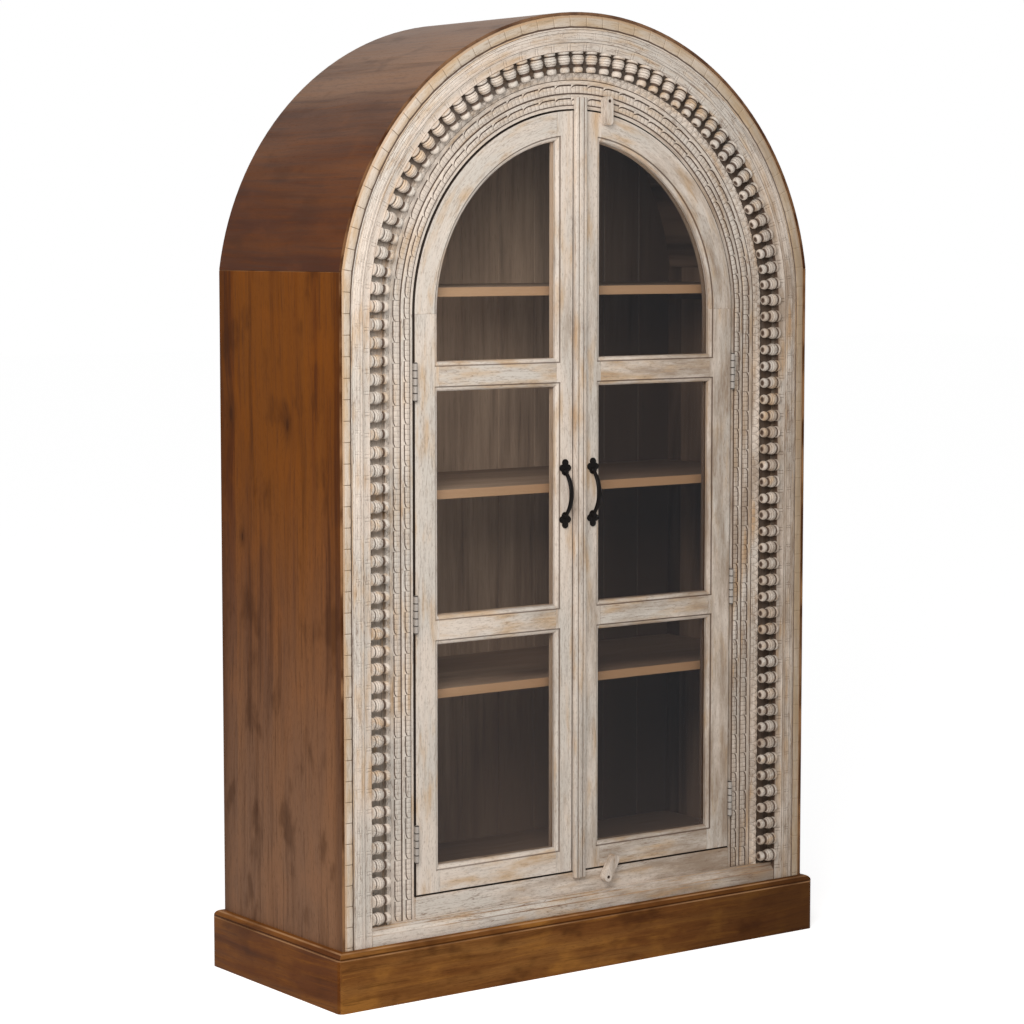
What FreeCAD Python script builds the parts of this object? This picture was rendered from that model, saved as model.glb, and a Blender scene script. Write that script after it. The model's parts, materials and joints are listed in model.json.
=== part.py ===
import FreeCAD
import Part
import math
import os

# Arched display cabinet with two glazed doors, in millimetres.
# X runs to the right seen from the front, Z is up, and the front faces -Y.
# The origin is the bottom centre of the plinth. A depth is measured back from
# the front edge of the side boards, and a radius from the arch centre.

# Overall sizes
total_height = 2000.0
carcass_width = 1216.0
carcass_depth = 460.0
roof_swell = 6.0

# Carcass boards
side_thickness = 22.0
roof_thickness = 18.0
edge_lip = 6.0
floor_thickness = 20.0
floor_top = 198.0
back_thickness = 12.0
back_plank_count = 12
plank_groove = 2.5

# Shelves, the top one above the spring line and the others by shares of its height over the floor
shelf_thickness = 19.0
shelf_setback = 12.0
top_shelf_rise = 52.0
middle_shelf_share = 0.668
lower_shelf_share = 0.338
cleat_size = 20.0
cleat_inset = 25.0

# Plinth
plinth_projection = 20.0
plinth_face_height = 108.0
plinth_moulding_height = 13.0
plinth_step = 3.0
plinth_flat = 4.0
plinth_corner_radius = 12.0

# Strips of the carved front, from the outside to the door opening
edge_width = 25.0
groove_width = 2.0
notched_width = 29.0
cove_width = 18.0
bed_width = 43.0
rope_width = 23.0
outer_leaf_width = 20.0
inner_leaf_width = 24.0
fillet_width = 7.0

# Depths of the carved front
front_thickness = 50.0
base_thickness = 22.5
strip_chamfer = 2.0
notched_depth = 0.5
cove_outer_depth = 1.0
cove_inner_depth = 4.0
rope_outer_depth = 14.0
rope_inner_depth = 20.0
leaf_joint = 1.0

# Turned spindles, the shares are of the length from the outer end
post_spindle_pitch = 36.0
arch_spindle_pitch = 34.9
spindle_depth = 8.0
collar_radius = 15.0
bulb_radius = 13.8
bulb_end_radius = 10.5
neck_radius = 8.5
ball_radius = 11.0
spindle_end_radius = 9.5
dimple_radius = 3.0
dimple_depth = 4.0
spindle_clearance = 0.3
collar_share = 0.1
bulb_start_share = 0.14
bulb_middle_share = 0.34
bulb_end_share = 0.58
ball_start_share = 0.67
ball_middle_share = 0.83
ball_end_share = 0.97

# Sill below the doors
opening_bottom = 202.5
sill_moulding_top = 157.0
sill_moulding_depth = 5.0
sill_cap_height = 7.0
sill_cap_depth = 14.0

# Doors
door_gap = 2.5
meeting_gap = 3.0
door_thickness = 26.0
hinge_stile_width = 59.5
meeting_sight = 58.0
bottom_rail_height = 55.0
rail_height = 60.0
top_pane_straight = 96.0
ovolo_width = 10.0
ovolo_height = 8.0
ovolo_step = 2.0
ovolo_steps = 4

# Glass and the beads behind it
glass_depth = 13.0
glass_thickness = 3.0
glass_rebate = 8.0
glass_clearance = 1.0

# Astragal on the right door
astragal_width = 30.0
astragal_thickness = 10.0
astragal_top_lap = 24.0
astragal_bottom_lap = 12.0
astragal_overhang = 0.5
astragal_clearance = 0.5
astragal_chamfer = 2.5

# Butt hinges, the third is halfway between these two
top_hinge_inset = 135.0
bottom_hinge_inset = 107.0
hinge_length = 76.0
hinge_leaf_thickness = 1.2
hinge_leaf_width = 21.0
knuckle_radius = 4.5
knuckle_clearance = 0.5
knuckle_count = 5
knuckle_play = 0.4
hinge_pin_radius = 2.0
hinge_pin_fit = 0.05
pin_head_radius = 3.2
pin_head_height = 1.6

# Pulls, placed by a share of the straight door height
pull_height_share = 0.679
pull_length = 145.0
pull_reach = 27.0
pull_bow_radius = 4.0
pull_bow_span = 92.0
pull_collar_radius = 5.6
pull_plate_thickness = 4.0
pull_lobe_radius = 6.5
pull_foot_radius = 7.5
pull_lobe_spread = 8.0

# Turn latches, each pivoted on the right door
latch_length = 60.0
latch_width = 20.0
latch_thickness = 18.0
latch_clearance = 0.3
latch_hole_radius = 3.0
latch_pin_radius = 3.0
latch_pin_fit = 0.05
latch_pin_depth = 12.0
top_latch_x = 65.5
top_latch_inset = 14.3
bottom_latch_x = 88.0
bottom_latch_inset = 14.0
bottom_latch_tilt = 29.0

# One overrun serves all cuts
overrun = 5.0

# Places worked out from the sizes above
half_width = carcass_width / 2
front_y = -carcass_depth / 2
arch_radius = half_width + roof_swell
arch_z = total_height - arch_radius
seam_z = arch_z + math.sqrt(arch_radius ** 2 - half_width ** 2)
plinth_height = plinth_face_height + plinth_moulding_height

front_half_width = half_width - edge_lip
front_radius = arch_radius - edge_lip
edge_inner = front_radius - edge_width
notched_outer = edge_inner - groove_width
notched_inner = notched_outer - notched_width
bed_outer = notched_inner - cove_width
rope_outer = bed_outer - bed_width
leaf_outer = rope_outer - rope_width
leaf_middle = leaf_outer - outer_leaf_width
fillet_outer = leaf_middle - inner_leaf_width
opening_radius = fillet_outer - fillet_width

base_depth = front_thickness - base_thickness
door_depth = front_thickness - door_thickness
leaf_depth = door_depth + astragal_clearance

door_radius = opening_radius - door_gap
door_bottom = opening_bottom + door_gap
hinge_sight = door_radius - hinge_stile_width
right_door_edge = -(astragal_width / 2 - astragal_overhang)
left_door_edge = right_door_edge - meeting_gap
knuckle_x = opening_radius - door_gap / 2
knuckle_depth = door_depth - knuckle_clearance - knuckle_radius

door_straight = arch_z - door_bottom
rails_height = bottom_rail_height + 2 * rail_height
pane_height = (door_straight - top_pane_straight - rails_height) / 2
lower_pane = (door_bottom + bottom_rail_height, door_bottom + bottom_rail_height + pane_height)
middle_pane = (lower_pane[1] + rail_height, lower_pane[1] + rail_height + pane_height)
top_pane = (middle_pane[1] + rail_height, None)

top_hinge_z = arch_z - top_hinge_inset
bottom_hinge_z = door_bottom + bottom_hinge_inset
hinge_heights = (top_hinge_z, (top_hinge_z + bottom_hinge_z) / 2, bottom_hinge_z)
pull_height = door_bottom + pull_height_share * door_straight
top_latch_z = arch_z + math.sqrt(door_radius ** 2 - top_latch_x ** 2) - top_latch_inset
bottom_latch_z = door_bottom + bottom_latch_inset

top_shelf_height = arch_z + top_shelf_rise
middle_shelf_height = floor_top + middle_shelf_share * (top_shelf_height - floor_top)
lower_shelf_height = floor_top + lower_shelf_share * (top_shelf_height - floor_top)


def vec(x, depth, z):
    return FreeCAD.Vector(x, front_y + depth, z)


def box(x_range, depth_range, z_range):
    low = vec(min(x_range), min(depth_range), min(z_range))
    high = vec(max(x_range), max(depth_range), max(z_range))
    size = high - low
    return Part.makeBox(size.x, size.y, size.z, low)


def disc(radius, depth_range):
    """Cylinder along Y about the arch centre."""
    length = max(depth_range) - min(depth_range)
    start = vec(0, min(depth_range), arch_z)
    return Part.makeCylinder(radius, length, start, FreeCAD.Vector(0, 1, 0))


def arched_slab(radius, bottom, depth_range):
    """Slab with a semicircular top about the arch centre."""
    lower = box((-radius, radius), depth_range, (bottom, arch_z))
    return disc(radius, depth_range).fuse(lower).removeSplitter()


def face_of(points):
    """Planar face from a list of corner vectors."""
    return Part.Face(Part.makePolygon(points + points[:1]))


def mirrored(shape):
    return shape.mirror(FreeCAD.Vector(0, 0, 0), FreeCAD.Vector(1, 0, 0))


def save(name, shape):
    shape.exportStep("parts/" + name + ".step")


def save_group(name, shapes):
    save(name, Part.makeCompound(shapes))


def save_handed(name, right_shape):
    """Write a piece of the right side and its mirror image on the left."""
    save("right_" + name, right_shape)
    save("left_" + name, mirrored(right_shape))


# Section of a front strip: corners as radius and depth pairs

def strip_post(section, bottom):
    face = face_of([vec(radius, depth, bottom) for radius, depth in section])
    return face.extrude(FreeCAD.Vector(0, 0, arch_z - bottom))


def strip_arch(section):
    face = face_of([vec(radius, depth, arch_z) for radius, depth in section])
    return face.revolve(vec(0, 0, arch_z), FreeCAD.Vector(0, -1, 0), 180)


def within_front(shape):
    """Trim a front strip where the straight side panel meets the arch."""
    limits = box((-front_half_width, front_half_width), (-overrun, front_thickness + overrun),
                 (-overrun, total_height + overrun))
    return shape.common(limits)


def chamfered(inner, outer, depth):
    """Section of a flat strip with both front corners taken off."""
    shoulder = depth + strip_chamfer
    return [(inner, base_depth), (inner, shoulder), (inner + strip_chamfer, depth),
            (outer - strip_chamfer, depth), (outer, shoulder), (outer, base_depth)]


# Plinth

def plinth_outline(half_x, half_y):
    """Upright block with the rounded corners of the plinth."""
    corner = FreeCAD.Vector(-half_x, -half_y, 0)
    block = Part.makeBox(2 * half_x, 2 * half_y, plinth_height, corner)
    upright = [edge for edge in block.Edges if edge.BoundBox.ZLength > plinth_height / 2]
    return block.makeFillet(plinth_corner_radius, upright)


def plinth_board(half_length, half_depth):
    """Board of the -Y side: ovolo on top, mitred ends, inner face at half_depth."""
    step_y = -(half_depth + plinth_projection - plinth_step)
    flat_y = -(half_depth + plinth_flat)
    end = half_length + plinth_projection + overrun
    outer_y = -(half_depth + plinth_projection)
    corner_share = math.sin(math.radians(45))
    bulge_y = flat_y + (step_y - flat_y) * corner_share
    bulge_z = plinth_face_height + plinth_moulding_height * corner_share

    def point(y, z):
        return FreeCAD.Vector(-end, y, z)

    low = [point(-half_depth, 0), point(outer_y, 0), point(outer_y, plinth_face_height),
           point(step_y, plinth_face_height)]
    high = [point(flat_y, plinth_height), point(-half_depth, plinth_height)]
    ovolo = Part.Arc(low[-1], point(bulge_y, bulge_z), high[0]).toShape()
    rest = Part.makePolygon(high + low)
    run = Part.Face(Part.Wire(rest.Edges + [ovolo])).extrude(FreeCAD.Vector(2 * end, 0, 0))
    plan = face_of([
        FreeCAD.Vector(-half_length, -half_depth, 0),
        FreeCAD.Vector(half_length, -half_depth, 0),
        FreeCAD.Vector(half_length + plinth_projection, outer_y, 0),
        FreeCAD.Vector(-half_length - plinth_projection, outer_y, 0)])
    mitred = run.common(plan.extrude(FreeCAD.Vector(0, 0, plinth_height)))
    return mitred.common(plinth_outline(half_length + plinth_projection, -outer_y))


def turned(shape, angle):
    copy = shape.copy()
    copy.rotate(FreeCAD.Vector(0, 0, 0), FreeCAD.Vector(0, 0, 1), angle)
    return copy


def make_plinth():
    half_depth = carcass_depth / 2
    long_board = plinth_board(half_width, half_depth)
    short_board = plinth_board(half_depth, half_width)
    save("plinth_front", long_board)
    save("plinth_back", turned(long_board, 180))
    save("plinth_right", turned(short_board, 90))
    save("plinth_left", turned(short_board, 270))


# Carcass

def side_panel():
    inner = half_width - side_thickness
    panel = box((inner, half_width), (front_thickness, carcass_depth), (0, seam_z))
    lip = box((half_width - edge_lip, half_width), (0, front_thickness), (0, seam_z))
    return panel.fuse(lip).removeSplitter()


def arch_roof():
    inner = arch_radius - roof_thickness
    section = [(inner, front_thickness), (front_radius, front_thickness), (front_radius, 0),
               (arch_radius, 0), (arch_radius, carcass_depth), (inner, carcass_depth)]
    above = box((-half_width - overrun, half_width + overrun),
                (-overrun, carcass_depth + overrun), (seam_z, total_height + overrun))
    return strip_arch(section).common(above)


def back_planks():
    """Upright planks with a small groove at each joint on the inside."""
    inner = half_width - side_thickness
    inner_radius = arch_radius - roof_thickness
    depths = (carcass_depth - back_thickness, carcass_depth)
    below = box((-inner, inner), depths, (0, seam_z))
    upper_half = box((-half_width, half_width), depths, (seam_z, total_height))
    outline = below.fuse(disc(inner_radius, depths).common(upper_half)).removeSplitter()
    width = 2 * inner_radius / back_plank_count
    planks = []
    for number in range(back_plank_count):
        left = -inner_radius + number * width
        right = left + width
        plan = [vec(left, depths[1], 0), vec(left, depths[0] + plank_groove, 0),
                vec(left + plank_groove, depths[0], 0), vec(right - plank_groove, depths[0], 0),
                vec(right, depths[0] + plank_groove, 0), vec(right, depths[1], 0)]
        plank = face_of(plan).extrude(FreeCAD.Vector(0, 0, total_height))
        planks.append(plank.common(outline))
    return planks


def inside_board(top, thickness, front):
    inner = half_width - side_thickness
    return box((-inner, inner), (front, carcass_depth - back_thickness), (top - thickness, top))


def cleats():
    """A batten under each end of the floor and of every shelf."""
    inner = half_width - side_thickness
    depths = (front_thickness + cleat_inset, carcass_depth - back_thickness - cleat_inset)
    under = [floor_top - floor_thickness]
    for height in (lower_shelf_height, middle_shelf_height, top_shelf_height):
        under.append(height - shelf_thickness)
    pieces = []
    for top in under:
        right = box((inner - cleat_size, inner), depths, (top - cleat_size, top))
        pieces.append(right)
        pieces.append(mirrored(right))
    return pieces


def make_carcass():
    save_handed("side_panel", side_panel())
    save("arch_roof", arch_roof())
    save_group("back_planks", back_planks())
    save("floor_panel", inside_board(floor_top, floor_thickness, front_thickness))
    shelf_front = front_thickness + shelf_setback
    save("top_shelf", inside_board(top_shelf_height, shelf_thickness, shelf_front))
    save("middle_shelf", inside_board(middle_shelf_height, shelf_thickness, shelf_front))
    save("lower_shelf", inside_board(lower_shelf_height, shelf_thickness, shelf_front))
    save_group("shelf_cleats", cleats())


# Carved front

def base_section(outer):
    """Flat board behind the carved strips, from the opening to its outer edge."""
    return [(opening_radius, front_thickness), (opening_radius, base_depth),
            (outer, base_depth), (outer, front_thickness)]


def make_front_frame():
    save_handed("front_post", strip_post(base_section(front_half_width), 0))
    save("front_arch", within_front(strip_arch(base_section(front_radius))))
    sill = box((-opening_radius, opening_radius), (leaf_depth, front_thickness), (0, opening_bottom))
    save("front_sill", sill)


def sill_moulding():
    band_top = sill_moulding_top - sill_cap_height
    slope = sill_cap_depth - sill_moulding_depth
    profile = [(sill_moulding_depth, 0), (sill_moulding_depth, band_top - slope),
               (sill_cap_depth, band_top), (sill_cap_depth, sill_moulding_top),
               (leaf_depth, sill_moulding_top), (leaf_depth, 0)]
    face = face_of([vec(-bed_outer, depth, z) for depth, z in profile])
    band = face.extrude(FreeCAD.Vector(2 * bed_outer, 0, 0))
    packing = box((opening_radius, bed_outer), (leaf_depth, base_depth), (0, sill_moulding_top))
    return band.fuse([packing, mirrored(packing)]).removeSplitter()


def sloped(inner, outer, inner_depth, outer_depth):
    """Section of a strip whose front slopes from one edge to the other."""
    return [(inner, base_depth), (inner, inner_depth), (outer, outer_depth), (outer, base_depth)]


def save_strips(name, bottom, sections):
    """Write strips as a pair of upright pieces and an arched piece each."""
    posts = [strip_post(section, bottom) for section in sections]
    save_group(name + "_posts", posts + [mirrored(post) for post in posts])
    save_group(name + "_arch", [within_front(strip_arch(section)) for section in sections])


def make_strips():
    save("edge_moulding_arch", within_front(strip_arch(chamfered(edge_inner, front_radius, 0))))
    edge_post = strip_post(chamfered(edge_inner, front_half_width, 0), 0)
    save_group("edge_moulding_posts", [edge_post, mirrored(edge_post)])
    save_strips("notched_moulding", 0, [chamfered(notched_inner, notched_outer, notched_depth)])
    save_strips("cove_moulding", 0, [sloped(bed_outer, notched_inner, cove_inner_depth, cove_outer_depth)])
    rope = sloped(leaf_outer, rope_outer, rope_inner_depth, rope_outer_depth)
    save_strips("rope_moulding", sill_moulding_top, [rope])
    half_joint = leaf_joint / 2
    leaves = [sloped(inner + half_joint, outer - half_joint, leaf_depth, leaf_depth)
              for inner, outer in ((fillet_outer, leaf_middle), (leaf_middle, leaf_outer))]
    save_strips("leaf_moulding", sill_moulding_top, leaves)
    save("sill_moulding", sill_moulding())


# Spindles

def spindle():
    """Turned spindle along X: collar at the outer end, ball and dimple at the inner end."""
    outer = bed_outer - spindle_clearance
    length = bed_width - 2 * spindle_clearance

    def point(along_share, radius):
        return FreeCAD.Vector(outer - along_share * length, front_y + spindle_depth + radius, arch_z)

    start = point(0, 0)
    bulb_start = point(bulb_start_share, bulb_end_radius)
    bulb_end = point(bulb_end_share, bulb_end_radius)
    ball_start = point(ball_start_share, neck_radius)
    ball_end = point(ball_end_share, spindle_end_radius)
    collar = [start, point(0, collar_radius), point(collar_share, collar_radius), bulb_start]
    neck = [bulb_end, point(bulb_end_share, neck_radius), ball_start]
    dimple = [ball_end, point(1, dimple_radius), point(1 - dimple_depth / length, 0), start]
    bulb = Part.Arc(bulb_start, point(bulb_middle_share, bulb_radius), bulb_end).toShape()
    ball = Part.Arc(ball_start, point(ball_middle_share, ball_radius), ball_end).toShape()
    edges = Part.makePolygon(collar).Edges + [bulb] + Part.makePolygon(neck).Edges
    edges += [ball] + Part.makePolygon(dimple).Edges
    return Part.Face(Part.Wire(edges)).revolve(start, FreeCAD.Vector(-1, 0, 0), 360)


def make_spindles():
    pattern = spindle()
    column = arch_z - sill_moulding_top
    post_count = round(column / post_spindle_pitch)
    step = column / post_count
    posts = []
    for number in range(post_count):
        copy = pattern.copy()
        copy.translate(FreeCAD.Vector(0, 0, sill_moulding_top + (number + 0.5) * step - arch_z))
        posts.append(copy)
    middle_radius = bed_outer - bed_width / 2
    arch_count = round(math.pi * middle_radius / arch_spindle_pitch)
    ring = []
    for number in range(arch_count):
        copy = pattern.copy()
        angle = (number + 0.5) * 180 / arch_count
        copy.rotate(vec(0, 0, arch_z), FreeCAD.Vector(0, -1, 0), angle)
        ring.append(copy)
    save_group("right_spindles", posts)
    save_group("left_spindles", [mirrored(post) for post in posts])
    save_group("arch_spindles", ring)


# Doors

def pane_wire(pane, grow, depth):
    """Outline of a pane of the right door, grown by an offset. The top pane has no upper edge."""
    left = meeting_sight - grow
    right = hinge_sight + grow
    bottom = pane[0] - grow
    if pane[1] is not None:
        top = pane[1] + grow
        corners = [vec(left, depth, bottom), vec(right, depth, bottom), vec(right, depth, top),
                   vec(left, depth, top), vec(left, depth, bottom)]
        return Part.makePolygon(corners)
    corner = vec(left, depth, arch_z + math.sqrt(right ** 2 - left ** 2))
    half_angle = math.atan2(math.sqrt(right ** 2 - left ** 2), left) / 2
    middle = vec(right * math.cos(half_angle), depth, arch_z + right * math.sin(half_angle))
    spring = vec(right, depth, arch_z)
    arc = Part.Arc(spring, middle, corner).toShape()
    start = vec(left, depth, bottom)
    base = Part.makePolygon([start, vec(right, depth, bottom), spring])
    return Part.Wire(base.Edges + [arc, Part.makeLine(corner, start)])


def pane_block(pane, grow_from, depth_from, grow_to, depth_to):
    wires = [pane_wire(pane, grow_from, depth_from), pane_wire(pane, grow_to, depth_to)]
    return Part.makeLoft(wires, True, True)


def pane_cuts(pane):
    """Sight opening, glass rebate and the ovolo round the front edge."""
    front = door_depth
    back = front_thickness + overrun
    cuts = [pane_block(pane, 0, front - overrun, 0, back),
            pane_block(pane, glass_rebate, front + glass_depth, glass_rebate, back),
            pane_block(pane, ovolo_width, front - overrun, ovolo_width, front + ovolo_step)]
    for number in range(ovolo_steps):
        start = math.radians(90 * number / ovolo_steps)
        end = math.radians(90 * (number + 1) / ovolo_steps)
        cuts.append(pane_block(
            pane,
            ovolo_width * (1 - math.sin(start)), front + ovolo_step + ovolo_height * (1 - math.cos(start)),
            ovolo_width * (1 - math.sin(end)), front + ovolo_step + ovolo_height * (1 - math.cos(end))))
    return cuts


def door_leaf(meeting_edge):
    """Whole frame of a right-hand door, from its meeting edge to the hinge edge."""
    depths = (door_depth, front_thickness)
    leaf = arched_slab(door_radius, door_bottom, depths)
    keep = box((meeting_edge, door_radius), depths, (0, total_height))
    leaf = leaf.common(keep)
    for pane in (top_pane, middle_pane, lower_pane):
        leaf = leaf.cut(pane_cuts(pane))
    return leaf


def door_pieces(leaf):
    """Split the frame into its stiles and rails."""
    depths = (door_depth, front_thickness)
    between = (meeting_sight, hinge_sight)
    outside = (meeting_sight, door_radius)
    ranges = {
        "meeting_stile": ((-meeting_sight, meeting_sight), (0, total_height)),
        "hinge_stile": ((hinge_sight, door_radius), (0, arch_z)),
        "arch_rail": (outside, (arch_z, total_height)),
        "upper_rail": (between, (middle_pane[1], top_pane[0])),
        "lower_rail": (between, (lower_pane[1], middle_pane[0])),
        "bottom_rail": (between, (0, lower_pane[0])),
    }
    return {name: leaf.common(box(x_range, depths, z_range)) for name, (x_range, z_range) in ranges.items()}


def pane_glass(pane):
    grow = glass_rebate - glass_clearance
    start = door_depth + glass_depth
    return pane_block(pane, grow, start, grow, start + glass_thickness)


def pane_bead(pane):
    start = door_depth + glass_depth + glass_thickness
    outer = pane_block(pane, glass_rebate, start, glass_rebate, front_thickness)
    return outer.cut(pane_block(pane, 0, start - overrun, 0, front_thickness + overrun))


def pin_hole(x, z):
    """Blind hole in the door for a latch pin."""
    start = vec(x, door_depth - overrun, z)
    radius = latch_pin_radius + latch_pin_fit
    return Part.makeCylinder(radius, overrun + latch_pin_depth, start, FreeCAD.Vector(0, 1, 0))


def make_doors():
    right = door_pieces(door_leaf(right_door_edge))
    right["arch_rail"] = right["arch_rail"].cut(pin_hole(top_latch_x, top_latch_z))
    right["bottom_rail"] = right["bottom_rail"].cut(pin_hole(bottom_latch_x, bottom_latch_z))
    left = door_pieces(door_leaf(-left_door_edge))
    for name in right:
        save("right_" + name, right[name])
        save("left_" + name, mirrored(left[name]))
    save_handed("arch_glass", pane_glass(top_pane))
    save_handed("lower_glass", Part.makeCompound([pane_glass(middle_pane), pane_glass(lower_pane)]))
    beads = [pane_bead(pane) for pane in (top_pane, middle_pane, lower_pane)]
    save_handed("glazing_beads", Part.makeCompound(beads))


def astragal():
    """Upright cover strip, lapping the arch above and the sill below."""
    half = astragal_width / 2
    front = door_depth - astragal_thickness
    plan = [(-half, door_depth), (-half, front + astragal_chamfer), (-half + astragal_chamfer, front),
            (half - astragal_chamfer, front), (half, front + astragal_chamfer), (half, door_depth)]
    bottom = opening_bottom - astragal_bottom_lap
    top = arch_z + opening_radius + astragal_top_lap
    face = face_of([vec(x, depth, bottom) for x, depth in plan])
    return face.extrude(FreeCAD.Vector(0, 0, top - bottom))


# Hinges, made for the right side

def knuckle(number, height):
    """One hinge knuckle with its bore."""
    pitch = hinge_length / knuckle_count
    bottom = height - hinge_length / 2 + number * pitch + knuckle_play / 2
    start = vec(knuckle_x, knuckle_depth, bottom)
    barrel = Part.makeCylinder(knuckle_radius, pitch - knuckle_play, start)
    bore = Part.makeCylinder(hinge_pin_radius + hinge_pin_fit, pitch, start)
    return barrel, bore


def hinge_leaf(height, numbers, x_range):
    plate_start = knuckle_depth + knuckle_radius + knuckle_clearance
    plate = box(x_range, (plate_start, plate_start + hinge_leaf_width),
                (height - hinge_length / 2, height + hinge_length / 2))
    bores = []
    barrels = []
    for number in numbers:
        barrel, bore = knuckle(number, height)
        low = barrel.BoundBox.ZMin
        tab = box(x_range, (knuckle_depth, plate_start), (low, barrel.BoundBox.ZMax))
        barrels += [barrel, tab]
        bores.append(bore)
    return plate.fuse(barrels).cut(bores).removeSplitter()


def hinge_pin(height):
    length = hinge_length - knuckle_play
    bottom = height - length / 2
    pin = Part.makeCylinder(hinge_pin_radius, length, vec(knuckle_x, knuckle_depth, bottom))
    heads = []
    for z in (bottom - pin_head_height, bottom + length):
        heads.append(Part.makeCylinder(pin_head_radius, pin_head_height, vec(knuckle_x, knuckle_depth, z)))
    return pin.fuse(heads).removeSplitter()


def make_hinges():
    frame_numbers = range(0, knuckle_count, 2)
    door_numbers = range(1, knuckle_count, 2)
    frame_side = (opening_radius - hinge_leaf_thickness, opening_radius)
    door_side = (door_radius, door_radius + hinge_leaf_thickness)
    frame_leaves = [hinge_leaf(height, frame_numbers, frame_side) for height in hinge_heights]
    door_leaves = [hinge_leaf(height, door_numbers, door_side) for height in hinge_heights]
    pins = [hinge_pin(height) for height in hinge_heights]
    save_group("hinge_frame_leaves", frame_leaves + [mirrored(leaf) for leaf in frame_leaves])
    save_group("hinge_pins", pins + [mirrored(pin) for pin in pins])
    save_group("right_hinge_leaves", door_leaves)
    save_group("left_hinge_leaves", [mirrored(leaf) for leaf in door_leaves])


# Pulls

def pull():
    """Bowed cast pull with a three-lobed plate at each end."""
    x = (meeting_sight + astragal_width / 2) / 2
    plate_depth = door_depth - pull_plate_thickness
    forward = FreeCAD.Vector(0, -1, 0)

    def lobe(radius, offset_x, z):
        return Part.makeCylinder(radius, pull_plate_thickness, vec(x + offset_x, door_depth, z), forward)

    pieces = []
    foot = pull_bow_span / 2
    end = pull_length / 2 - pull_lobe_radius
    for side in (-1, 1):
        foot_z = pull_height + side * foot
        shoulder_z = foot_z + side * pull_foot_radius
        pieces.append(lobe(pull_foot_radius, 0, foot_z))
        pieces.append(lobe(pull_lobe_radius, -pull_lobe_spread, shoulder_z))
        pieces.append(lobe(pull_lobe_radius, pull_lobe_spread, shoulder_z))
        pieces.append(lobe(pull_lobe_radius, 0, pull_height + side * end))
        neck = (pull_height + side * end, foot_z)
        pieces.append(box((x - pull_lobe_radius, x + pull_lobe_radius), (plate_depth, door_depth), neck))
    rise = pull_reach - pull_bow_radius
    start = vec(x, plate_depth, pull_height - foot)
    crown = vec(x, door_depth - rise, pull_height)
    finish = vec(x, plate_depth, pull_height + foot)
    path = Part.Wire([Part.Arc(start, crown, finish).toShape()])
    tangent = path.Edges[0].tangentAt(path.Edges[0].FirstParameter)
    section = Part.Wire([Part.makeCircle(pull_bow_radius, start, tangent)])
    bow = path.makePipeShell([section], True, False)
    collars = []
    for z in (pull_height - foot, pull_height + foot):
        collars.append(Part.makeSphere(pull_collar_radius, vec(x, plate_depth, z)))
    before_door = box((0, half_width), (-front_thickness, door_depth), (0, total_height))
    collars = [collar.common(before_door) for collar in collars]
    return pieces[0].fuse(pieces[1:] + [bow] + collars).removeSplitter()


# Turn latches

def latch(x, z):
    """Upright latch: pivot at the lower end on the door, peg hole at the upper end."""
    half = latch_width / 2
    reach = latch_length - latch_width
    back = door_depth - latch_clearance
    front = back - latch_thickness
    along = FreeCAD.Vector(0, 1, 0)
    body = box((x - half, x + half), (front, back), (z, z + reach))
    ends = [Part.makeCylinder(half, latch_thickness, vec(x, front, end_z), along) for end_z in (z, z + reach)]
    hole = Part.makeCylinder(latch_hole_radius, latch_thickness + 2 * overrun,
                             vec(x, front - overrun, z + reach), along)
    socket = Part.makeCylinder(latch_pin_radius + latch_pin_fit, latch_pin_depth + overrun,
                               vec(x, back - latch_pin_depth, z), along)
    return body.fuse(ends).cut([hole, socket]).removeSplitter()


def latch_pin(x, z):
    length = 2 * latch_pin_depth - latch_clearance
    start = vec(x, door_depth + latch_pin_depth - length, z)
    return Part.makeCylinder(latch_pin_radius, length, start, FreeCAD.Vector(0, 1, 0))


def make_latches():
    save("top_latch", latch(top_latch_x, top_latch_z))
    bottom = latch(bottom_latch_x, bottom_latch_z)
    turn = 180 + bottom_latch_tilt
    bottom.rotate(vec(bottom_latch_x, door_depth, bottom_latch_z), FreeCAD.Vector(0, 1, 0), turn)
    save("bottom_latch", bottom)
    pins = [latch_pin(top_latch_x, top_latch_z), latch_pin(bottom_latch_x, bottom_latch_z)]
    save_group("latch_pins", pins)


make_plinth()
make_carcass()
make_front_frame()
make_strips()
make_spindles()
make_doors()
save("astragal", astragal())
make_hinges()
save_handed("pull", pull())
make_latches()
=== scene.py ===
import json
import math

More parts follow.
